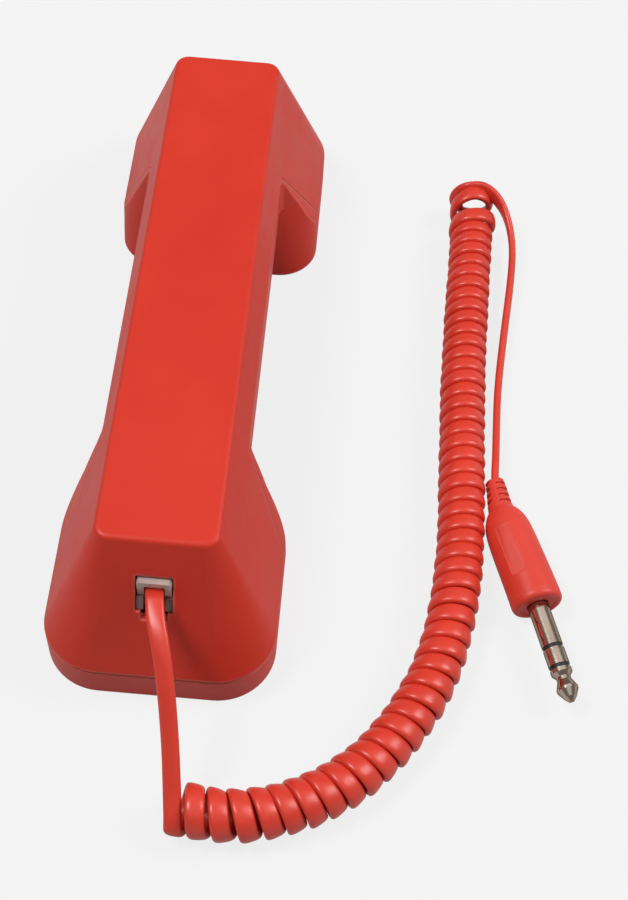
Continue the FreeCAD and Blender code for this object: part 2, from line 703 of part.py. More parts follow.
profile = polygon_sketch("contact_profile", [
    (back + " + contact_thickness", board_top), (back + " + contact_thickness", contact_top),
    (front, contact_top), (front + " + 2.9", blade_top + " + 0.03"),
    (front + " + 3.3", blade_top + " + 0.2"), (front + " + 0.75", contact_top + " - contact_thickness"),
    (back, contact_top + " - contact_thickness"),
    (back, board_top)], "YZ")
contacts = []
for i in range(4):
    spring = extruded("contact_%d" % (i + 1), profile, (1, 0, 0), "contact_width")
    contacts.append(place(spring, "%s*contact_pitch - contact_width/2" % (i - 1.5)))
node(compound("socket_contacts", contacts), "socket_contacts")

# Leads inside the handset


def with_arcs(points, share=0.45):
    """Straight runs joined by tangent arcs; gives the edges and the radii."""
    edges, radii, start = [], [], points[0]
    for before, corner, after in zip(points, points[1:], points[2:]):
        a = (before - corner).normalize()
        b = (after - corner).normalize()
        half = (math.pi - a.getAngle(b)) / 2
        reach = share * min((corner - before).Length, (after - corner).Length)
        radius = reach / math.tan(half)
        into, out = corner + a * reach, corner + b * reach
        middle = corner + (a + b).normalize() * (radius / math.cos(half) - radius)
        edges += [Part.LineSegment(start, into).toShape(), Part.Arc(into, middle, out).toShape()]
        radii.append(radius)
        start = out
    return edges + [Part.LineSegment(start, points[-1]).toShape()], radii


def tube(name, points, diameter):
    """A round tube along a route."""
    edges, radii = with_arcs([FreeCAD.Vector(*p) for p in points])
    path = doc.addObject("Part::Feature", name + "_path")
    path.Shape = Part.Wire(edges)
    ring = doc.addObject("Part::Circle", name + "_ring")
    bind(ring, "Radius", diameter + "/2")
    along = (FreeCAD.Vector(*points[1]) - FreeCAD.Vector(*points[0])).normalize()
    ring.Placement = FreeCAD.Placement(FreeCAD.Vector(*points[0]),
                                       FreeCAD.Rotation(FreeCAD.Vector(0, 0, 1), along))
    sweep = doc.addObject("Part::Sweep", name)
    sweep.Sections = [ring]
    sweep.Spine = (path, ["Edge%d" % (i + 1) for i in range(len(edges))])
    sweep.Solid = True
    sweep.Frenet = False
    print(name, "radii", [round(r, 1) for r in radii], "length", round(path.Shape.Length, 1))
    return sweep


S = {alias: size(alias) for alias in [*SIZES, *DERIVED]}
wire_start = S["capsule_reach"] - S["receiver_diameter"] / 3
basket_top = (S["wall"] + S["cloth_thickness"] + S["gasket_thickness"] + S["diaphragm_thickness"]
              + S["receiver_depth"])
board_z = S["opening_centre"] - S["socket_height"] / 2
handle_z = (S["handle_underside"] + S["overall_height"]) / 2
strip_y = -S["board_reach"] + S["board_length"] / 2 - 2.0
for i, x in enumerate((-3.0, 3.0)):
    tube("receiver_lead_%d" % (i + 1), [
        (x, wire_start, basket_top), (x, wire_start, basket_top + 12), (x, wire_start - 16, handle_z),
        (x, strip_y + 18, handle_z), (x, strip_y, handle_z - 2), (x, strip_y, board_z + 3.0)],
         "lead_diameter")
node(compound("receiver_leads", [doc.getObject("receiver_lead_1"), doc.getObject("receiver_lead_2")]),
     "receiver_leads")
capsule_top = S["wall"] + S["cloth_thickness"] + S["microphone_height"]
for i, x in enumerate((-1.4, 1.4)):
    tube("microphone_lead_%d" % (i + 1), [
        (x, -S["capsule_reach"], capsule_top), (x, -S["capsule_reach"], capsule_top + 6),
        (3 * x, 8 - S["capsule_reach"], capsule_top + 14),
        (3 * x, 8 - S["capsule_reach"], board_z - S["board_thickness"])], "lead_diameter")
node(compound("microphone_leads", [doc.getObject("microphone_lead_1"), doc.getObject("microphone_lead_2")]),
     "microphone_leads")

# Modular plug with four blades and a latch
plug_blank = box("plug_blank", "plug_width", "plug_length", "plug_height", "-plug_width/2", "-plug_rear",
                 "plug_centre - plug_height/2")
plug_tools, blades = [], []
for i in range(4):
    middle = "%s*contact_pitch" % (i - 1.5)
    plug_tools.append(box("plug_slot_%d" % (i + 1), "contact_slot", "contact_slot_length + 1",
                          "contact_slot_depth + 1", middle + " - contact_slot/2",
                          plug_front + " - contact_slot_length", blade_top))
    blades.append(box("blade_%d" % (i + 1), "contact_thickness", "contact_slot_length - 0.8", "blade_height",
                      middle + " - contact_thickness/2", plug_front + " - contact_slot_length + 0.4",
                      blade_top + " - blade_height"))
node(cut("modular_plug", plug_blank, plug_tools + blades), "modular_plug")
node(compound("plug_contacts", blades), "plug_contacts")
hinge_y = plug_front + " - 0.8"
hinge_z = "(plug_centre - plug_height/2 - latch_gap - latch_thickness/2)"
latch_root = doc.addObject("Part::Cylinder", "latch_root")
bind(latch_root, "Radius", "latch_thickness/2")
bind(latch_root, "Height", "latch_width")
latch_root.Placement.Rotation = FreeCAD.Rotation(FreeCAD.Vector(0, 1, 0), 90)
place(latch_root, "-latch_width/2", hinge_y, hinge_z)
latch_end = "(" + plug_front + " - 0.8 - latch_length)"
tab = extruded("latch_tab", polygon_sketch("latch_profile", [
    (hinge_y, hinge_z + " + latch_thickness/2"), (hinge_y, hinge_z + " - latch_thickness/2"),
    (latch_end, hinge_z + " - latch_thickness/2 - latch_drop"),
    (latch_end, hinge_z + " + latch_thickness/2 - latch_drop")], "YZ"), (1, 0, 0), "latch_width")
place(tab, "-latch_width/2")
node(fuse("plug_latch", [latch_root, tab]), "plug_latch")

# Curly cord: one polygon tube wound about a curved line on the table
radius = (S["coil_diameter"] - S["cord_diameter"]) / 2
axis_z = S["coil_diameter"] / 2 + S["floor_clearance"]
AXIS = [(9.6, -147.3), (21.3, -147.3), (31.4, -145.6), (40.4, -142.9), (49.4, -138.7), (58.6, -132.4),
        (66.9, -123.9), (74.2, -112.5), (79.8, -100.1), (83.2, -86.4), (85.1, -72.6), (85.9, -59.4),
        (86.0, -46.0), (85.7, -31.9), (85.5, -17.6), (85.3, 0.7), (85.4, 15.1), (85.7, 30.1),
        (86.1, 45.5), (86.6, 61.6), (86.8, 74.0), (86.8, 85.2)]
COUNTS = [5, 16, 29, 2]
PITCHES = [6.1, 5.6, 4.96, 6.2]
line = Part.BSplineCurve()
line.interpolate([FreeCAD.Vector(x, y, axis_z) for x, y in AXIS])
line_length = line.length()
turns = int(S["coil_turns"])
steps = [pitch for count, pitch in zip(COUNTS, PITCHES) for _ in range(count)][:turns]
steps = [steps[0]] + [(a + b) / 2 for a, b in zip(steps, steps[1:])]
scale = line_length / sum(steps)
marks = [0.0]
for step in steps:
    marks.append(marks[-1] + step * scale)


def along_coil(turn):
    """Length along the axis at a number of turns."""
    whole = min(int(turn), turns - 1)
    return marks[whole] + (turn - whole) * (marks[whole + 1] - marks[whole])


def coil_point(turn):
    """Centre of the cord at a number of turns from the start."""
    length = min(max(along_coil(turn), 0.0), line_length)
    at = line.parameterAtDistance(length, line.FirstParameter)
    heading = FreeCAD.Vector(*line.tangent(at)[0]).normalize()
    side = FreeCAD.Vector(0, 0, 1).cross(heading)
    angle = 2 * math.pi * (turn + 0.25)
    opened = radius + 1.3 * max(0.0, min(1.0, (turn - turns + 0.6) / 0.6))
    across = side * (opened * math.cos(angle))
    return line.value(at) + across + FreeCAD.Vector(0, 0, opened * math.sin(angle))


def coil_heading(turn):
    step = 0.002
    low, high = max(turn - step, 0.0), min(turn + step, float(turns))
    return (coil_point(high) - coil_point(low)).normalize()


def biarc(start, leave, stop, arrive):
    """Two arcs from start to stop that keep both headings."""
    gap = stop - start
    both = leave + arrive
    spread = 2 * (1 - leave.dot(arrive))
    reach = (-gap.dot(both) + math.sqrt(gap.dot(both) ** 2 + spread * gap.dot(gap))) / spread
    corner, next_corner = start + leave * reach, stop - arrive * reach
    joint = (corner + next_corner) * 0.5
    arcs = []
    for a, b, c in ((start, corner, joint), (joint, next_corner, stop)):
        to_a, to_c = (a - b).normalize(), (c - b).normalize()
        half = (math.pi - to_a.getAngle(to_c)) / 2
        bend = (a - b).Length / math.tan(half)
        arcs.append((a, b + (to_a + to_c).normalize() * (bend / math.cos(half) - bend), c, bend))
    return arcs


stations = [i * 0.5 for i in range(2 * turns + 1)]
arcs = []
for low, high in zip(stations, stations[1:]):
    arcs += biarc(coil_point(low), coil_heading(low), coil_point(high), coil_heading(high))
coil_edges = [Part.Arc(a, m, c).toShape() for a, m, c, bend in arcs]
coil_path = doc.addObject("Part::Feature", "cord_coil_path")
coil_path.Shape = Part.Wire(coil_edges)
print("coil pitch", [round(marks[i + 1] - marks[i], 2) for i in (0, 10, 30, turns - 1)],
      "least bend", round(min(bend for _, _, _, bend in arcs), 2),
      "length", round(coil_path.Shape.Length, 1))
dots = [edge.valueAt(edge.FirstParameter + f * (edge.LastParameter - edge.FirstParameter))
        for edge in coil_edges for f in (0.0, 0.25, 0.5, 0.75)]
per_turn = 16
least = min((dots[i] - dots[j]).Length for i in range(len(dots))
            for j in range(i + per_turn // 2, min(i + 3 * per_turn, len(dots))))
print("least gap of the cord to itself", round(least - S["cord_diameter"], 2))


def cord_section(name, point, heading):
    """A regular polygon across the cord."""
    ring = doc.addObject("Part::RegularPolygon", name)
    bind(ring, "Polygon", "cord_sides")
    bind(ring, "Circumradius", "cord_diameter/2")
    ring.Placement = FreeCAD.Placement(point, FreeCAD.Rotation(FreeCAD.Vector(0, 0, 1), heading))
    return ring


coil = doc.addObject("Part::Sweep", "cord_coil")
coil.Sections = [cord_section("cord_coil_section", coil_point(0), coil_heading(0))]
coil.Spine = (coil_path, ["Edge%d" % (i + 1) for i in range(len(coil_edges))])
coil.Solid = True
coil.Frenet = False
node(coil, "cord_coil")


def cord_tube(name, points):
    """A stretch of cord: straight runs joined by tangent arcs."""
    sweep = tube(name, points, "cord_diameter")
    return node(sweep, name)


rear = -S["plug_rear"]
begin = coil_point(0) - coil_heading(0) * 12.0
exit_z = S["plug_centre"] - 0.6
NEAR = [(0.0, rear, exit_z), (0.0, rear - 11.5, exit_z), (2.0, rear - 19.8, exit_z - 5.8),
        (5.2, rear - 26.5, exit_z - 17.9), (begin.x, begin.y, begin.z), tuple(coil_point(0))]
cord_tube("cord_near_tail", NEAR)
turn_angle = math.radians(S["jack_turn"])
jack_z = S["grip_diameter"] / 2 + S["floor_clearance"]
jack_back = FreeCAD.Vector(-math.cos(turn_angle), -math.sin(turn_angle), 0)
relief_end = (FreeCAD.Vector(S["jack_side"], -S["jack_reach"], jack_z)
              + jack_back * (S["grip_length"] + S["relief_length"]))
last = relief_end + jack_back * 3.6
end_point = coil_point(turns)
leave = end_point + coil_heading(turns) * 7.0
FAR = [tuple(end_point), (leave.x, leave.y, leave.z), (leave.x + 6.3, leave.y - 3.0, leave.z - 1.3),
       (leave.x + 9.8, leave.y - 9.0, leave.z - 3.6), (leave.x + 8.9, leave.y - 21.5, 6.4),
       (leave.x + 6.6, leave.y - 44.0, 4.0), (leave.x + 4.2, leave.y - 72.0, 2.6),
       (leave.x + 2.4, leave.y - 97.0, 4.2), tuple(last), tuple(relief_end)]
cord_tube("cord_far_tail", FAR)


# Jack plug, drawn along +X from the front face of the grip
def jack_piece(name, points):
    """A turned piece set on the jack's axis."""
    piece = turned(name, points)
    return lay_on_axis(piece)


def lay_on_axis(piece):
    piece.Placement.Rotation = FreeCAD.Rotation(FreeCAD.Vector(0, 0, 1), S["jack_turn"])
    bind(piece, "Placement.Rotation.Angle", "jack_turn")
    return place(piece, "jack_side", "-jack_reach", "grip_diameter/2 + floor_clearance")


sleeve_end = "sleeve_length"
flange_back = "(-front_wall - flange_length)"
ring_start = "(sleeve_length + insulator_length)"
ring_end = "(sleeve_length + insulator_length + ring_length)"
tip_start = "(sleeve_length + 2*insulator_length + ring_length)"
jack_end = "(sleeve_length + 2*insulator_length + ring_length + tip_length)"
rod = "rod_diameter/2"
film_1 = "(rod_diameter/2 + film)"
tube_r = "(rod_diameter/2 + 2*film)"
film_2 = "(rod_diameter/2 + 3*film)"
outside = "jack_diameter/2"
neck = "(jack_diameter/2 - neck_inset)"
node(jack_piece("jack_tip", [
    (flange_back + " - 6", "0"), (jack_end, "0"), (jack_end, "0.9"), (jack_end + " - 1.2", "1.9"),
    (jack_end + " - 3.4", outside), (jack_end + " - 4.2", outside),
    (jack_end + " - 6.6", "tip_neck_diameter/2"),
    (jack_end + " - 7.6", "tip_neck_diameter/2"), (tip_start + " + 1.2", outside), (tip_start, outside),
    (tip_start, rod), (flange_back + " - 6", rod)]), "jack_tip")
node(jack_piece("front_insulator", [
    (flange_back + " - 4", rod), (tip_start, rod), (tip_start, outside + " - insulator_inset"),
    (ring_end, outside + " - insulator_inset"), (ring_end, film_1), (flange_back + " - 4", film_1)]),
     "front_insulator")
node(jack_piece("jack_ring", [
    (flange_back + " - 4", film_1), (ring_end, film_1), (ring_end, outside), (ring_start, outside),
    (ring_start, tube_r), (flange_back + " - 4", tube_r)]), "jack_ring")
node(jack_piece("rear_insulator", [
    (flange_back + " - 2", tube_r), (ring_start, tube_r), (ring_start, outside + " - insulator_inset"),
    (sleeve_end, outside + " - insulator_inset"), (sleeve_end, film_2), (flange_back + " - 2", film_2)]),
     "rear_insulator")
node(jack_piece("jack_sleeve", [
    (flange_back, film_2), (sleeve_end, film_2), (sleeve_end, outside), ("0", outside), ("0", neck),
    ("-front_wall", neck), ("-front_wall", "flange_diameter/2"), (flange_back, "flange_diameter/2")]),
     "jack_sleeve")
grip_back = "-grip_length"
bore = "(grip_diameter/2 - grip_wall)"
grip_blank = turned("grip_blank", [
    ("0", neck), ("0", "grip_diameter/2 - grip_edge"), ("-grip_edge", "grip_diameter/2"),
    (grip_back + " + grip_shoulder", "grip_diameter/2"),
    (grip_back + " + grip_shoulder*0.62", "grip_diameter/2 - 0.3"),
    (grip_back + " + grip_shoulder*0.25", "(grip_diameter + grip_rear_diameter)/4 + 0.7"),
    (grip_back, "grip_rear_diameter/2"), (grip_back, "relief_base_diameter/2"),
    (grip_back + " - relief_length", "relief_end_diameter/2"), (grip_back + " - relief_length", "0"),
    (flange_back + " - grip_cavity", "0"), (flange_back + " - grip_cavity", bore), (flange_back, bore),
    (flange_back, "flange_diameter/2"), ("-front_wall", "flange_diameter/2"), ("-front_wall", neck)])
slots = [box("label_panel", "label_length", "label_width", "grip_diameter", "-label_start - label_length",
             "-label_width/2", "grip_diameter/2 - label_depth")]
for i in range(3):
    for side, z in (("upper", "relief_base_diameter/4"), ("lower", "-relief_base_diameter*1.25")):
        slots.append(box("relief_%s_%d" % (side, i + 1), "relief_slot", "relief_base_diameter",
                         "relief_base_diameter", grip_back + " - relief_pitch*%d - 1.6" % i,
                         "-relief_base_diameter/2", z))
grip = cut("jack_grip", grip_blank, slots)
node(lay_on_axis(grip), "jack_grip")
terminals = [box("tip_terminal", "5", "0.6", "2.4", flange_back + " - 11", "-0.3", "-1.2"),
             box("ring_terminal", "5", "0.6", "2.4", flange_back + " - 9", "1.3", "-1.2"),
             box("sleeve_terminal", "7", "0.6", "2.4", flange_back + " - 7", "-3.6", "-1.2")]
node(lay_on_axis(compound("jack_terminals", terminals)), "jack_terminals")

doc.recompute()
for thing in doc.Objects:
    if "Invalid" in thing.State or "Error" in thing.State:
        raise RuntimeError("not built: " + thing.Name)
for thing in NODES:
    if thing.Shape.isNull() or not thing.Shape.isValid():
        raise RuntimeError("bad shape: " + thing.Label)
os.makedirs("parts", exist_ok=True)
for thing in NODES:
    thing.Shape.exportStep("parts/%s.step" % thing.Label)
    bounds = thing.Shape.BoundBox
    print("%-18s %9.1f  solids %d  x %.1f %.1f  y %.1f %.1f  z %.1f %.1f" % (
        thing.Label, thing.Shape.Volume, len(thing.Shape.Solids), bounds.XMin, bounds.XMax,
        bounds.YMin, bounds.YMax, bounds.ZMin, bounds.ZMax))
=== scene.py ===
import bpy
import bmesh
import math
from mathutils import Matrix, Vector


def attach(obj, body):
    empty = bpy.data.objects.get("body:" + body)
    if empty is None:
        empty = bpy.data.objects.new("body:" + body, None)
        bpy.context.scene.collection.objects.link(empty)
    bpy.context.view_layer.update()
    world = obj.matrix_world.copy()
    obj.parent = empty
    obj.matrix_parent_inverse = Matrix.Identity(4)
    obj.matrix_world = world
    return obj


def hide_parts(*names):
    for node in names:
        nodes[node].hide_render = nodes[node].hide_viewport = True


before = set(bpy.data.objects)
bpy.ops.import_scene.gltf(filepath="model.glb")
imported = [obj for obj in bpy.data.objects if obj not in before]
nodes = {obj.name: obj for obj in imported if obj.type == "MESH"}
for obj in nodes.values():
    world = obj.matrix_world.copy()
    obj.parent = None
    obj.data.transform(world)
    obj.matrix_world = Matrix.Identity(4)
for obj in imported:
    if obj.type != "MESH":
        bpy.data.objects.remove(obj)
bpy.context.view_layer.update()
collection = bpy.context.scene.collection
UP = Vector((0, 0, 1))
MM, PER_METRE = 0.001, 1000.0


# Camera: fitted to the outline of the object in the photograph
PICTURE_HEIGHT, FOCAL_PIXELS = 900.0, 1543.7
SENSOR, DISTANCE = 36.0, 0.49265
ELEVATION, HEADING, ROLL = math.radians(56.627), math.radians(-0.828), math.radians(4.234)
TARGET = Vector((0.039145, -0.022044, 0.0))


def add_camera():
    forward = Vector((math.sin(HEADING) * math.cos(ELEVATION), math.cos(HEADING) * math.cos(ELEVATION),
                      -math.sin(ELEVATION)))
    level = Vector((math.cos(HEADING), -math.sin(HEADING), 0.0))
    above = level.cross(forward)
    right = math.cos(ROLL) * level + math.sin(ROLL) * above
    upward = -math.sin(ROLL) * level + math.cos(ROLL) * above
    data = bpy.data.cameras.new("camera")
    data.sensor_fit = "VERTICAL"
    data.sensor_height = data.sensor_width = SENSOR
    data.lens = SENSOR * FOCAL_PIXELS / PICTURE_HEIGHT
    data.clip_start, data.clip_end = 0.01, 20.0
    camera = bpy.data.objects.new("camera", data)
    turned = Matrix((right, upward, -forward)).transposed().to_4x4()
    camera.matrix_world = Matrix.Translation(TARGET - DISTANCE * forward) @ turned
    collection.objects.link(camera)
    bpy.context.scene.camera = camera


add_camera()


# Materials


class Nodes:
    """A node tree built from plain calls."""

    def __init__(self, tree):
        self.tree = tree

    def node(self, kind, **settings):
        """A new node; a setting is one of its properties, or else a constant on the input of that name."""
        made = self.tree.nodes.new(kind)
        for key, value in settings.items():
            if hasattr(made, key):
                setattr(made, key, value)
            else:
                made.inputs[key].default_value = value
        return made

    def link(self, source, output, target, socket):
        self.tree.links.new(source.outputs[output], target.inputs[socket])

    def ramp(self, source, output, stops):
        """Colours along a value; the first stop and the last take the places of the ramp's own two."""
        made = self.node("ShaderNodeValToRGB")
        elements = made.color_ramp.elements
        for at, _ in stops[1:-1]:
            elements.new(at)
        for element, (at, colour) in zip(elements, stops):
            element.position = at
            element.color = (*colour, 1.0)
        self.link(source, output, made, "Fac")
        return made

    def mix(self, factor, output, first, second):
        """Two shaders mixed."""
        made = self.node("ShaderNodeMixShader")
        self.link(factor, output, made, 0)
        self.link(first, 0, made, 1)
        self.link(second, 0, made, 2)
        return made

    def seen_factor(self, in_gloss):
        """1 for rays from the camera and through clear plastic, and a share of that in reflections."""
        rays = self.node("ShaderNodeLightPath")
        gloss = self.node("ShaderNodeMath", operation="MULTIPLY")
        gloss.inputs[1].default_value = in_gloss
        first = self.node("ShaderNodeMath", operation="MAXIMUM")
        second = self.node("ShaderNodeMath", operation="MAXIMUM")
        self.link(rays, "Is Glossy Ray", gloss, 0)
        self.link(rays, "Is Camera Ray", first, 0)
        self.link(gloss, 0, first, 1)
        self.link(first, 0, second, 0)
        self.link(rays, "Is Transmission Ray", second, 1)
        return second


class Shade(Nodes):
    """A material with one principled shader."""

    def __init__(self, name):
        self.material = bpy.data.materials.new(name)
        self.material.use_nodes = True
        super().__init__(self.material.node_tree)
        self.shader = self.tree.nodes["Principled BSDF"]

    def put(self, **values):
        """Constants on the shader's own inputs."""
        for key, value in values.items():
            self.shader.inputs[key.replace("_", " ")].default_value = value
        return self

    def noise(self, scale, detail=3.0, roughness=0.55, stretch=(1, 1, 1)):
        where = self.node("ShaderNodeTexCoord")
        mapping = self.node("ShaderNodeMapping", Scale=stretch)
        self.link(where, "Object", mapping, "Vector")
        made = self.node("ShaderNodeTexNoise", Scale=scale, Detail=detail, Roughness=roughness)
        self.link(mapping, "Vector", made, "Vector")
        return made

    def span(self, source, output, low, high, to_low, to_high):
        """A value mapped from one range to another."""
        made = self.node("ShaderNodeMapRange")
        for key, value in (("From Min", low), ("From Max", high), ("To Min", to_low), ("To Max", to_high)):
            made.inputs[key].default_value = value
        self.link(source, output, made, "Value")
        return made

    def blend(self, factor, output, first, second):
        """Two colours mixed; the second is plain numbers."""
        made = self.node("ShaderNodeMixRGB", Color2=(*second, 1.0))
        self.link(factor, output, made, "Fac")
        self.link(first, "Color", made, "Color1")
        return made

    def bump(self, source, output, strength, distance, before=None):
        made = self.node("ShaderNodeBump", Strength=strength, Distance=distance)
        self.link(source, output, made, "Height")
        if before:
            self.link(before, "Normal", made, "Normal")
        self.link(made, "Normal", self.shader, "Normal")
        return made


# Scales of the noise in the materials, from slow colour drift to tool marks
DRIFT, RUBS, WAVES, TARNISH, CLOUDS, RIPPLES, TOOL_MARKS = 28.0, 55.0, 60.0, 140.0, 180.0, 240.0, 1800.0
RUB_RANGE = (0.35, 0.68)
GRAIN_BUMP, WAVE_BUMP, WAVE_DEPTH = 0.35, 0.12, 0.0003
MARK_BUMP, MARK_DEPTH, RIPPLE_BUMP, RIPPLE_DEPTH = 0.12, 0.00002, 0.1, 0.0001
# How far the rounded normal turns from the flat one, and the largest share of the painted edge highlight
EDGE_RANGE, EDGE_HIGHLIGHT_SHARE = (0.93, 0.998), 0.65
TARNISHED, CLOUDED = 0.72, 0.85


def darker(colour, share):
    return tuple(part * share for part in colour)


def moulded(name, dark, bright, rough, grain=2600.0, grain_depth=0.00003, edge_highlight=None, edge=0.0, **extra):
    """Moulded plastic: slow colour drift, fine mould grain, faint rub marks and a painted highlight along
    edges.
    """
    shade = Shade(name)
    colour = shade.ramp(shade.noise(DRIFT, 4.0), "Fac", [(0.3, dark), (0.7, bright)])
    rounded = None
    # Painted highlight: the colour is mixed towards a lighter one where the bevel's rounded normal turns from
    # the flat one, at hollow edges as well as outer ones
    if edge:
        rounded = shade.node("ShaderNodeBevel", samples=6, Radius=edge)
        flat = shade.node("ShaderNodeNewGeometry")
        dot = shade.node("ShaderNodeVectorMath", operation="DOT_PRODUCT")
        shade.link(rounded, "Normal", dot, 0)
        shade.link(flat, "Normal", dot, 1)
        mask = shade.span(dot, "Value", *EDGE_RANGE, EDGE_HIGHLIGHT_SHARE, 0.0)
        colour = shade.blend(mask, "Result", colour, edge_highlight)
    shade.link(colour, "Color", shade.shader, "Base Color")
    rub = shade.span(shade.noise(RUBS, 6.0, 0.7), "Fac", *RUB_RANGE, *rough)
    shade.link(rub, "Result", shade.shader, "Roughness")
    first = shade.bump(shade.noise(grain, 2.0), "Fac", GRAIN_BUMP, grain_depth, rounded)
    shade.bump(shade.noise(WAVES, 2.0), "Fac", WAVE_BUMP, WAVE_DEPTH, first)
    return shade.put(**extra).material


def metal(name, colour, rough, edge_tint=(0.5, 0.5, 0.5), stretch=(1, 1, 1)):
    """Plated metal with faint tool marks and handling haze."""
    shade = Shade(name)
    shade.put(Metallic=1.0, Specular_Tint=(*edge_tint, 1.0))
    stops = [(0.3, darker(colour, TARNISHED)), (0.75, colour)]
    tone = shade.ramp(shade.noise(TARNISH, 5.0, 0.6), "Fac", stops)
    shade.link(tone, "Color", shade.shader, "Base Color")
    marks = shade.noise(TOOL_MARKS, 3.0, 0.6, stretch)
    finish = shade.span(marks, "Fac", 0.3, 0.7, *rough)
    shade.link(finish, "Result", shade.shader, "Roughness")
    shade.bump(marks, "Fac", MARK_BUMP, MARK_DEPTH)
    return shade.material


def clear(name, colour, rough, transmission):
    """Clear or smoked plastic with a little unevenness in tone and surface."""
    shade = Shade(name)
    tone = shade.ramp(shade.noise(CLOUDS, 4.0), "Fac", [(0.3, darker(colour, CLOUDED)), (0.7, colour)])
    shade.link(tone, "Color", shade.shader, "Base Color")
    shade.bump(shade.noise(RIPPLES, 2.0), "Fac", RIPPLE_BUMP, RIPPLE_DEPTH)
    return shade.put(Roughness=rough, Transmission_Weight=transmission, IOR=1.5).material


# The lighter colour along the edges of the shells is a painted highlight
shell_red = moulded("shell_red", (0.58, 0.028, 0.012), (0.635, 0.035, 0.016), (0.36, 0.46),
                    edge_highlight=(0.95, 0.22, 0.17), edge=0.0010, Specular_IOR_Level=0.26)
cord_red = moulded("cord_red", (0.62, 0.036, 0.018), (0.71, 0.048, 0.024), (0.30, 0.40), grain=900.0,
                   Specular_IOR_Level=0.5, Subsurface_Weight=0.05, Subsurface_Radius=(0.9, 0.25, 0.15),
                   Subsurface_Scale=0.0010)
# The lighter colour along the edges of the grip is a painted highlight
grip_red = moulded("grip_red", (0.63, 0.042, 0.024), (0.71, 0.054, 0.032), (0.38, 0.50), grain=1500.0,
                   edge_highlight=(0.84, 0.11, 0.08), edge=0.0005, Specular_IOR_Level=0.36)
nickel = metal("nickel", (0.60, 0.48, 0.385), (0.06, 0.18), (0.28, 0.20, 0.15), (1, 1, 0.2))
gold = metal("gold", (0.86, 0.60, 0.25), (0.18, 0.34))
steel = metal("steel", (0.56, 0.56, 0.57), (0.3, 0.45))
clear_plastic = clear("clear_plastic", (0.84, 0.66, 0.59), 0.10, 0.5)
smoke_plastic = clear("smoke_plastic", (0.26, 0.15, 0.125), 0.20, 0.25)
black_plastic = moulded("black_plastic", (0.010, 0.010, 0.011), (0.022, 0.022, 0.024), (0.35, 0.55),
                        Specular_IOR_Level=0.3)
board_green = moulded("board_green", (0.012, 0.10, 0.035), (0.02, 0.14, 0.05), (0.25, 0.4))
lead_jacket = moulded("lead_insulation", (0.42, 0.40, 0.33), (0.55, 0.52, 0.43), (0.4, 0.5))
cloth_black = moulded("cloth_black", (0.008, 0.008, 0.008), (0.02, 0.02, 0.02), (0.8, 0.95), grain=1200.0,
                      grain_depth=0.0003)
film = moulded("film", (0.42, 0.37, 0.28), (0.5, 0.45, 0.35), (0.2, 0.3))
FINISH = [
    (shell_red, ("rear_shell", "front_shell")),
    (steel, ("shell_screws", "board_screws", "receiver_basket", "receiver_magnet")),
    (cloth_black, ("ear_cloth", "microphone_cloth")),
    (black_plastic, ("receiver_gasket", "microphone_boot", "board_parts", "front_insulator",
                     "rear_insulator")),
    (film, ("receiver_diaphragm",)),
    (board_green, ("circuit_board",)),
    (smoke_plastic, ("jack_socket",)),
    (gold, ("socket_contacts", "plug_contacts", "jack_terminals")),
    (lead_jacket, ("receiver_leads", "microphone_leads")),
    (clear_plastic, ("modular_plug", "plug_latch")),
    (cord_red, ("cord_coil", "cord_near_tail", "cord_far_tail")),
    (grip_red, ("jack_grip",)),
    (nickel, ("microphone_capsule", "jack_sleeve", "jack_ring", "jack_tip")),
]
for material, names in FINISH:
    for name in names:
        mesh = nodes[name].data
        mesh.materials.clear()
        mesh.materials.append(material)


# Meshes, from points in millimetres


def add(name, mesh, material, body, replaced=()):
    """A new piece on a body, with its material and what it stands for."""
    thing = bpy.data.objects.new(name, mesh)
    collection.objects.link(thing)
    mesh.materials.clear()
    mesh.materials.append(material)
    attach(thing, body)
    if replaced:
        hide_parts(*replaced)
    return thing


def smoothed(mesh, sharp=None):
    """A mesh shaded smooth, with sharp edges from an angle in degrees on."""
    mesh.polygons.foreach_set("use_smooth", [True] * len(mesh.polygons))
    if sharp:
        mesh.set_sharp_from_angle(angle=math.radians(sharp))
    return mesh


def grid_mesh(name, rings, sharp=None):
    """A closed form through rings of points, flat at both ends."""
    mesh = bpy.data.meshes.new(name)
    count = len(rings[0])
    last = (len(rings) - 1) * count
    faces = [(low + j, low + (j + 1) % count, low + count + (j + 1) % count, low + count + j)
             for low in range(0, last, count) for j in range(count)]
    faces += [tuple(range(count))[::-1], tuple(last + j for j in range(count))]
    mesh.from_pydata([point * MM for ring in rings for point in ring], [], faces)
    mesh.update()
    shape = bmesh.new()
    shape.from_mesh(mesh)
    bmesh.ops.recalc_face_normals(shape, faces=shape.faces)
    shape.to_mesh(mesh)
    shape.free()
    return smoothed(mesh, sharp)


def prisms_mesh(name, blocks, soft):
    """Closed blocks, each given as two matching rings of points, with softened edges."""
    shape = bmesh.new()
    for first, second in blocks:
        lower = [shape.verts.new(Vector(point) * MM) for point in first]
        upper = [shape.verts.new(Vector(point) * MM) for point in second]
        shape.faces.new(lower[::-1])
        shape.faces.new(upper)
        for j in range(len(lower)):
            k = (j + 1) % len(lower)
            shape.faces.new((lower[j], lower[k], upper[k], upper[j]))
    bmesh.ops.recalc_face_normals(shape, faces=shape.faces)
    bmesh.ops.bevel(shape, geom=list(shape.edges), offset=soft * MM, segments=2, affect="EDGES", profile=0.6)
    mesh = bpy.data.meshes.new(name)
    shape.to_mesh(mesh)
    shape.free()
    return smoothed(mesh, 40)


def ease(value):
    """A soft step from 0 to 1."""
    value = max(0.0, min(1.0, value))
    return value * value * (3 - 2 * value)


def between(value, table):
    """A value read from a table of pairs, along straight lines."""
    for (x0, y0), (x1, y1) in zip(table, table[1:]):
        if value <= x1:
            return y0 + (y1 - y0) * max(0.0, value - x0) / (x1 - x0)
    return table[-1][1]


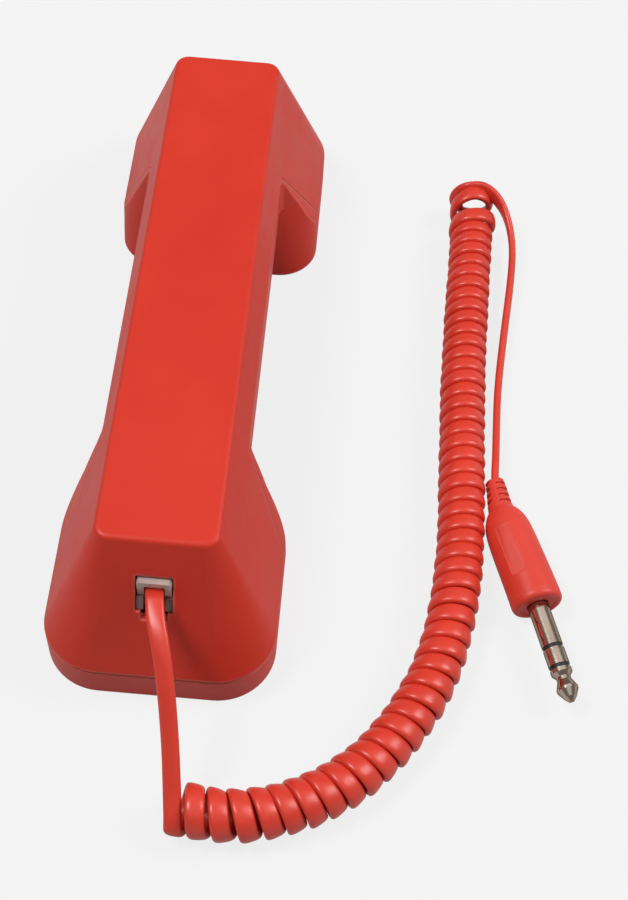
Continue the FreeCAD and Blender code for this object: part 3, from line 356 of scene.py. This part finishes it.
# Cord: one line from the modular plug through the curls to the jack plug.
# Turns are counted from the modular plug; the first control point of the curls is a quarter turn in.
PLUG_REAR = (0.0, -98.0, 40.4)
AXIS_Z = 7.6
AXIS = [(9.8, -146.4), (21.3, -147.9), (31.4, -146.8), (40.4, -144.1), (49.4, -139.8), (58.6, -133.1),
        (66.9, -123.9), (74.2, -112.5), (79.8, -100.1), (83.2, -86.4), (85.1, -72.6), (85.9, -59.4),
        (86.0, -46.0), (85.7, -31.9), (85.5, -17.6), (85.3, 0.7), (85.4, 15.1), (85.7, 30.1),
        (86.1, 45.5), (86.6, 61.6), (86.8, 74.0), (86.8, 84.3)]
PITCHES = [(4, 6.35), (17, 5.6), (28, 4.93), (1, 4.2), (1, 10.4), (1, 3.0)]
TURNS, PER_TURN, FIRST = 52, 16, 4
BAND_WIDTH, BAND_THICKNESS = 5.2, 2.4
CURL_RADIUS = 7.3 - BAND_THICKNESS / 2
# The last turn stands on edge; the ones before it are wider, but for a narrow stretch in between
TILT, ON_EDGE, STANDS_FROM = math.radians(13.0), math.radians(75.0), TURNS - 1.0
LESS_ON_EDGE, WIDER, WIDENS_FROM, WIDENS_OVER = 1.4, 0.9, 49.2, 1.2
NARROWER, NARROW_FROM, NARROW_TO, NARROWS_OVER = 0.8, 50.4, 51.7, 0.5
# Unevenness of the curls: size, rate and start of each wave along the turns
UNEVEN = [(0.07, 2.3, 0.0), (0.05, 0.9, 1.0)]
# Lowest height of a control point, flat and on edge, so that the band lies on the floor
LOWEST, LOWER_EDGE, EDGE_FROM = 1.35, 2.0, 50.5
NEAR = [PLUG_REAR, (0.9, -105.4, 40.2), (3.7, -113.6, 37.6), (6.3, -124.2, 30.0), (8.3, -134.6, 21.4),
        (9.7, -144.6, 13.8), (10.5, -150.6, 10.0)]
JACK_FRONT = Vector((109.4, -75.6, 7.85))
JACK_TURN = math.radians(-72.2)
jack_out = Vector((math.cos(JACK_TURN), math.sin(JACK_TURN), 0))
RELIEF_END, CORD_IN_GRIP = 44.0, 4
relief_end = JACK_FRONT - jack_out * RELIEF_END
FAR = [(90.0, 84.0, 14.0), (94.6, 81.6, 12.4), (98.6, 76.6, 9.6), (101.2, 67.6, 6.6), (101.4, 55.0, 4.6),
       (98.8, 26.6, 3.5), (97.1, 5.2, 3.0), (96.7, -16.0, 4.6), (96.3, -26.0, 7.2), tuple(relief_end),
       tuple(relief_end + jack_out * CORD_IN_GRIP)]


def curve_points(control, name, steps):
    """Points along the NURBS line of some control points; those with two numbers lie at AXIS_Z."""
    data = bpy.data.curves.new(name, "CURVE")
    data.dimensions = "3D"
    spline = data.splines.new("NURBS")
    spline.points.add(len(control) - 1)
    for point, at in zip(spline.points, control):
        point.co = (at[0] * MM, at[1] * MM, (at[2] if len(at) > 2 else AXIS_Z) * MM, 1.0)
    spline.order_u = 3
    spline.use_endpoint_u = True
    data.resolution_u = steps
    thing = bpy.data.objects.new(name, data)
    collection.objects.link(thing)
    bpy.context.view_layer.update()
    mesh = bpy.data.meshes.new_from_object(thing)
    points = [vertex.co * PER_METRE for vertex in mesh.vertices]
    bpy.data.meshes.remove(mesh)
    bpy.data.objects.remove(thing)
    return points


def lengths_along(points):
    total = [0.0]
    for a, b in zip(points, points[1:]):
        total.append(total[-1] + (b - a).length)
    return total


axis_line = curve_points(AXIS, "coil_axis", 24)
lengths = lengths_along(axis_line)
steps = [pitch for count, pitch in PITCHES for _ in range(count)]
unit = lengths[-1] / sum(steps)
marks = [0.0]
for step in steps:
    marks.append(marks[-1] + step * unit)


def on_axis(turn):
    """Place and heading on the coil's axis at a number of turns."""
    whole = min(int(turn), TURNS - 1)
    length = marks[whole] + (turn - whole) * (marks[whole + 1] - marks[whole])
    low = max(i for i, value in enumerate(lengths[:-1]) if value <= length + 1e-9)
    share = (length - lengths[low]) / (lengths[low + 1] - lengths[low])
    a, b = axis_line[low], axis_line[low + 1]
    return a.lerp(b, share), (b - a).normalized()


def leaning(turn):
    """How far the band leans: a little in the coil, and nearly on edge the other way at its far end."""
    if turn > STANDS_FROM:
        return -ON_EDGE * ease(turn - STANDS_FROM)
    return TILT * ease(turn / 2.0) * ease((STANDS_FROM - turn) / 2.0)


def curl(turn):
    """A control point of the curls."""
    at, heading = on_axis(turn)
    side = UP.cross(heading)
    angle = 2 * math.pi * (turn + 0.25)
    standing = abs(math.sin(leaning(turn)))
    radius = CURL_RADIUS - LESS_ON_EDGE * standing + WIDER * ease((turn - WIDENS_FROM) / WIDENS_OVER)
    radius -= NARROWER * ease((turn - NARROW_FROM) / NARROWS_OVER) * ease((NARROW_TO - turn) / NARROWS_OVER)
    radius += sum(size * math.sin(rate * turn + start) for size, rate, start in UNEVEN)
    radius /= math.cos(math.pi / PER_TURN) ** 2
    point = at + radius * (math.cos(angle) * side + math.sin(angle) * UP)
    point.z = max(point.z, LOWEST + LOWER_EDGE * standing * ease(turn - EDGE_FROM))
    return point


curls = [curl(i / PER_TURN) for i in range(FIRST, TURNS * PER_TURN + 1)]
path = curve_points(NEAR + [tuple(point) for point in curls] + FAR, "cord_line", 4)
first_curl = min(range(len(path)), key=lambda i: (path[i] - curls[0]).length)
last_curl = min(range(len(path)), key=lambda i: (path[i] - curls[-1]).length)
along = lengths_along(path)
# Breadth and squareness of the band: more than BAND_WIDTH by the turn, and less in the tails
BREADTHS = [(0, -0.3), (1, 0.2), (3, 0.65), (18, 0.65), (23, 0.15), (48, 0.1), (50, 0.4), (51, 0.1),
            (52, -0.4)]
NEAR_LESS, FAR_LESS = 0.2, 0.4
IN_CURLS, IN_TAILS = 2.8, 3.0
NEAR_TWIST, FAR_TWIST, TWIST_OVER = math.radians(20.0), math.radians(24.0), 20.0


def band_at(i, heading):
    """Direction across the band at a point of its line, its breadth there and its squareness."""
    if i <= first_curl:
        twist = NEAR_TWIST * ease(along[i] / 25.0) * ease((along[first_curl] - along[i]) / TWIST_OVER)
        across = Vector((math.cos(twist), 0, math.sin(twist)))
        return across, BAND_WIDTH - NEAR_LESS * ease((along[i] - 10.0) / 30.0), IN_TAILS
    if i >= last_curl:
        twist = ON_EDGE + ease((along[i] - along[last_curl]) / TWIST_OVER) * FAR_TWIST
        across = math.cos(twist) * UP.cross(heading).normalized() + math.sin(twist) * UP
        return across, BAND_WIDTH - FAR_LESS, IN_TAILS
    begun = FIRST / PER_TURN
    turn = begun + (i - first_curl) / (last_curl - first_curl) * (TURNS - begun)
    place, axis_heading = on_axis(turn)
    outward = (path[i] - place).normalized()
    across = math.cos(leaning(turn)) * axis_heading - math.sin(leaning(turn)) * outward
    return across, BAND_WIDTH + between(turn, BREADTHS), IN_CURLS


def cord_rings(count=20):
    """Rings of the flat cord: a section with rounded sides, turned to lie flat in the curls."""
    rings = []
    for i, point in enumerate(path):
        heading = (path[min(i + 1, len(path) - 1)] - path[max(i - 1, 0)]).normalized()
        across, breadth, power = band_at(i, heading)
        across = (across - heading * across.dot(heading)).normalized()
        face = heading.cross(across)
        ring = []
        for j in range(count):
            angle = 2 * math.pi * j / count
            x, y = math.cos(angle), math.sin(angle)
            x = math.copysign(abs(x) ** (2 / power), x) * breadth / 2
            y = math.copysign(abs(y) ** (2 / power), y) * BAND_THICKNESS / 2
            ring.append(point + across * x + face * y)
        rings.append(ring)
    return rings


cord = add("curly_cord", grid_mesh("curly_cord", cord_rings()), cord_red, "cord_set",
           ("cord_near_tail", "cord_coil", "cord_far_tail"))


# Jack plug's grip: a tapered body with a domed rear, a bare panel and a slotted strain relief.
# The tables give the distance back from the grip's front and the radius there.
GRIP_PROFILE = [(2.0, 3.22), (0.45, 3.22), (0.32, 3.4), (0.32, 5.3), (0.04, 5.6), (0.0, 5.9), (0.0, 6.5),
                (0.14, 6.95), (0.42, 7.35), (0.9, 7.62), (1.5, 7.74), (2.3, 7.75), (2.36, 7.62), (2.56, 7.62),
                (2.62, 7.74), (5.0, 7.7), (9.0, 7.62), (9.06, 7.62), (9.24, 7.62), (12.0, 7.56), (15.0, 7.5),
                (18.0, 7.43), (21.0, 7.35), (23.5, 7.25), (25.4, 7.12), (25.58, 7.1), (25.64, 7.1),
                (27.0, 6.95), (28.6, 6.65), (30.0, 6.25), (31.2, 5.75), (32.2, 5.2), (33.0, 4.65),
                (33.5, 4.25), (33.9, 4.0), (34.4, 3.95)]
RELIEF_SIZES = [(34.4, 3.95), (RELIEF_END, 2.95)]
RELIEF_CAP = [(RELIEF_END, 2.95), (44.3, 2.75), (44.4, 2.4)]
GRIP_BEND, BENDS_OVER, STRAIGHT_FROM, STRAIGHTENS_OVER = -0.9, 30.0, 34.0, 10.0
PANEL_TURN, PANEL_HALF = math.radians(-29.0), math.radians(18.0)
PANEL_FROM, PANEL_TO, PANEL_RADIUS, PANEL_WALL, PANEL_EDGE = 9.1, 25.6, 7.5, 0.012, 0.001
SLOT_STARTS, SLOT_SHIFT, SLOT_WIDTH, SLOT_DEPTH = (35.1, 37.3, 39.5, 41.7), 1.15, 1.0, 0.8
SLOT_STATIONS = (-0.14, 0.14, 0.86, 1.14)


def grip_stations():
    """The profile, with stations before and behind both walls of each slot along the relief."""
    places = sorted(start + shift + extra for start in SLOT_STARTS for shift in (0.0, SLOT_SHIFT)
                    for extra in SLOT_STATIONS)
    return GRIP_PROFILE + [(at, between(at, RELIEF_SIZES)) for at in places] + RELIEF_CAP


def grip_angles():
    """Angles round the grip, 0 up and positive to the right, with more at the panel and opposite it."""
    sides = [PANEL_TURN + start + side * (PANEL_HALF + extra)
             for start in (0.0, math.pi) for side in (-1, 1) for extra in (0.0, PANEL_WALL)]
    return sorted([math.radians(5.0 * i) for i in range(-36, 36)] + sides)


def grip_radius(back, radius, angle):
    """The grip's radius with the panel and the slots cut in."""
    turned = math.remainder(angle - PANEL_TURN, 2 * math.pi)
    if PANEL_FROM < back < PANEL_TO and abs(turned) < PANEL_HALF + PANEL_EDGE:
        return min(radius - 0.1, PANEL_RADIUS * math.cos(PANEL_HALF) / math.cos(turned))
    ridge = PANEL_HALF + PANEL_WALL / 2
    for start in SLOT_STARTS:
        first = start + (SLOT_SHIFT if turned < 0 else 0.0)
        if first < back < first + SLOT_WIDTH and ridge < abs(turned) < math.pi - ridge:
            return radius - SLOT_DEPTH
    return radius


jack_right = UP.cross(jack_out)
angles = grip_angles()
grip_rings = []
for back, radius in grip_stations():
    bend = GRIP_BEND * ease(back / BENDS_OVER) * (1 - ease((back - STRAIGHT_FROM) / STRAIGHTENS_OVER))
    centre = JACK_FRONT - jack_out * back + jack_right * bend
    grip_rings.append([centre + grip_radius(back, radius, angle)
                       * (math.sin(angle) * jack_right + math.cos(angle) * UP) for angle in angles])
add("jack_handle", grid_mesh("jack_handle", grip_rings, 32.0), grip_red, "cord_set", ("jack_grip",))


# Socket's rails and modular plug: the profiles give x and z
SPINE_END, SPINE_TOP, SLANT_RUN, SLANT_HEIGHT = -92.0, 56.0, 19.0, 44.0
RAIL_PROFILE = [(3.0, 33.65), (5.12, 33.65), (5.12, 37.6), (3.0, 37.6)]
RAIL_INNER, RAIL_RECESS, RAIL_SOFT = -92.7, 0.7, 0.12
PLUG_REAR_END = [(-4.8, 37.75), (-2.8, 37.75), (-2.8, 41.7), (-2.5, 42.0), (2.5, 42.0), (2.8, 41.7),
                 (2.8, 37.75), (4.8, 37.75), (4.8, 43.5), (4.1, 44.2), (-4.1, 44.2), (-4.8, 43.5)]
PLUG_FRONT_END = [(-4.8, 37.75), (4.8, 37.75), (4.8, 44.25), (-4.8, 44.25)]
PLUG_BLOCKS = [(PLUG_REAR_END, -98.5, -95.2), (PLUG_FRONT_END, -95.1, -87.4)]
PLUG_SOFT = 0.15


def end_face(z):
    """The slanted end face's place along Y at a height."""
    return SPINE_END - SLANT_RUN * (SPINE_TOP - z) / SLANT_HEIGHT


def rail(side):
    """A rail of the socket below one side of the plug, cut to the slant of the end face."""
    return ([(side * x, RAIL_INNER, z) for x, z in RAIL_PROFILE],
            [(side * x, end_face(z) + RAIL_RECESS, z) for x, z in RAIL_PROFILE])


def block(profile, rear, front):
    return ([(x, rear, z) for x, z in profile], [(x, front, z) for x, z in profile])


add("socket_rails", prisms_mesh("socket_rails", [rail(-1), rail(1)], RAIL_SOFT), smoke_plastic, "handset",
    ())
add("plug_body", prisms_mesh("plug_body", [block(*parts) for parts in PLUG_BLOCKS], PLUG_SOFT),
    clear_plastic, "cord_set", ("modular_plug",))


# Floor and light
FLOOR_REACH, FLOOR_DROP = 6.0, 0.0002
FLOOR_DARK, FLOOR_BRIGHT = 0.42, 0.45
FLOOR_GLOW, FLOOR_IN_GLOSS = 0.81, 0.3
WORLD_LIGHT, BACKDROP = 0.28, 0.90
# Tones that reflections see by height: a pale horizon, a dark band above it and a bright top
REFLECTED = [(0.0, 0.54), (0.12, 0.54), (0.24, 0.22), (0.62, 0.22), (0.8, 0.95), (1.0, 0.95)]
LAMP_AIM = (0.03, 0.0, 0.0)
# Name, place, size and power of each lamp
LAMPS = [("left", (-0.6, -0.08, 1.25), 0.42, 10.8), ("right", (0.95, 0.2, 0.9), 0.7, 9.5)]


def grey(tone):
    return (tone, tone, tone)


def add_floor():
    """A plain floor that keeps shadows and looks pale to the camera, with less of that in reflections."""
    corners = [(x * FLOOR_REACH, y * FLOOR_REACH, 0) for x, y in ((-1, -1), (1, -1), (1, 1), (-1, 1))]
    mesh = bpy.data.meshes.new("floor")
    mesh.from_pydata(corners, [], [(0, 1, 2, 3)])
    floor = bpy.data.objects.new("floor", mesh)
    floor.location.z = -FLOOR_DROP
    collection.objects.link(floor)
    shade = Shade("floor")
    shade.put(Roughness=0.85, Specular_IOR_Level=0.2)
    tone = shade.ramp(shade.noise(3.0), "Fac", [(0.3, grey(FLOOR_DARK)), (0.7, grey(FLOOR_BRIGHT))])
    shade.link(tone, "Color", shade.shader, "Base Color")
    glow = shade.node("ShaderNodeEmission", Color=(1.0, 1.0, 1.0, 1.0), Strength=1.0)
    share = shade.node("ShaderNodeMath", operation="MULTIPLY")
    share.inputs[1].default_value = FLOOR_GLOW
    shade.link(shade.seen_factor(FLOOR_IN_GLOSS), 0, share, 0)
    mixed = shade.mix(share, 0, shade.shader, glow)
    shade.link(mixed, 0, shade.tree.nodes["Material Output"], "Surface")
    mesh.materials.append(shade.material)


def add_world():
    """Even light, a pale backdrop for the camera and bands of grey for reflections."""
    world = bpy.data.worlds.new("world")
    world.use_nodes = True
    bpy.context.scene.world = world
    sky = Nodes(world.node_tree)
    lit = sky.tree.nodes["Background"]
    lit.inputs["Color"].default_value = (1.0, 1.0, 1.0, 1.0)
    lit.inputs["Strength"].default_value = WORLD_LIGHT
    where = sky.node("ShaderNodeTexCoord")
    parts = sky.node("ShaderNodeSeparateXYZ")
    sky.link(where, "Generated", parts, 0)
    bands = sky.ramp(parts, "Z", [(at, grey(tone)) for at, tone in REFLECTED])
    reflected = sky.node("ShaderNodeBackground")
    sky.link(bands, "Color", reflected, "Color")
    backdrop = sky.node("ShaderNodeBackground", Color=(*grey(BACKDROP), 1.0))
    unseen = sky.mix(sky.node("ShaderNodeLightPath"), "Is Glossy Ray", lit, reflected)
    both = sky.mix(sky.seen_factor(0.0), 0, unseen, backdrop)
    sky.link(both, 0, sky.tree.nodes["World Output"], "Surface")


def add_lamp(name, place, size, power):
    """A round lamp aimed at the middle of the object."""
    data = bpy.data.lights.new(name, "AREA")
    data.shape = "DISK"
    data.size = size
    data.energy = power
    thing = bpy.data.objects.new(name, data)
    thing.location = place
    thing.rotation_euler = (Vector(LAMP_AIM) - Vector(place)).to_track_quat("-Z", "Y").to_euler()
    collection.objects.link(thing)


add_floor()
add_world()
for lamp in LAMPS:
    add_lamp(*lamp)
bpy.context.scene.view_settings.view_transform = "Standard"
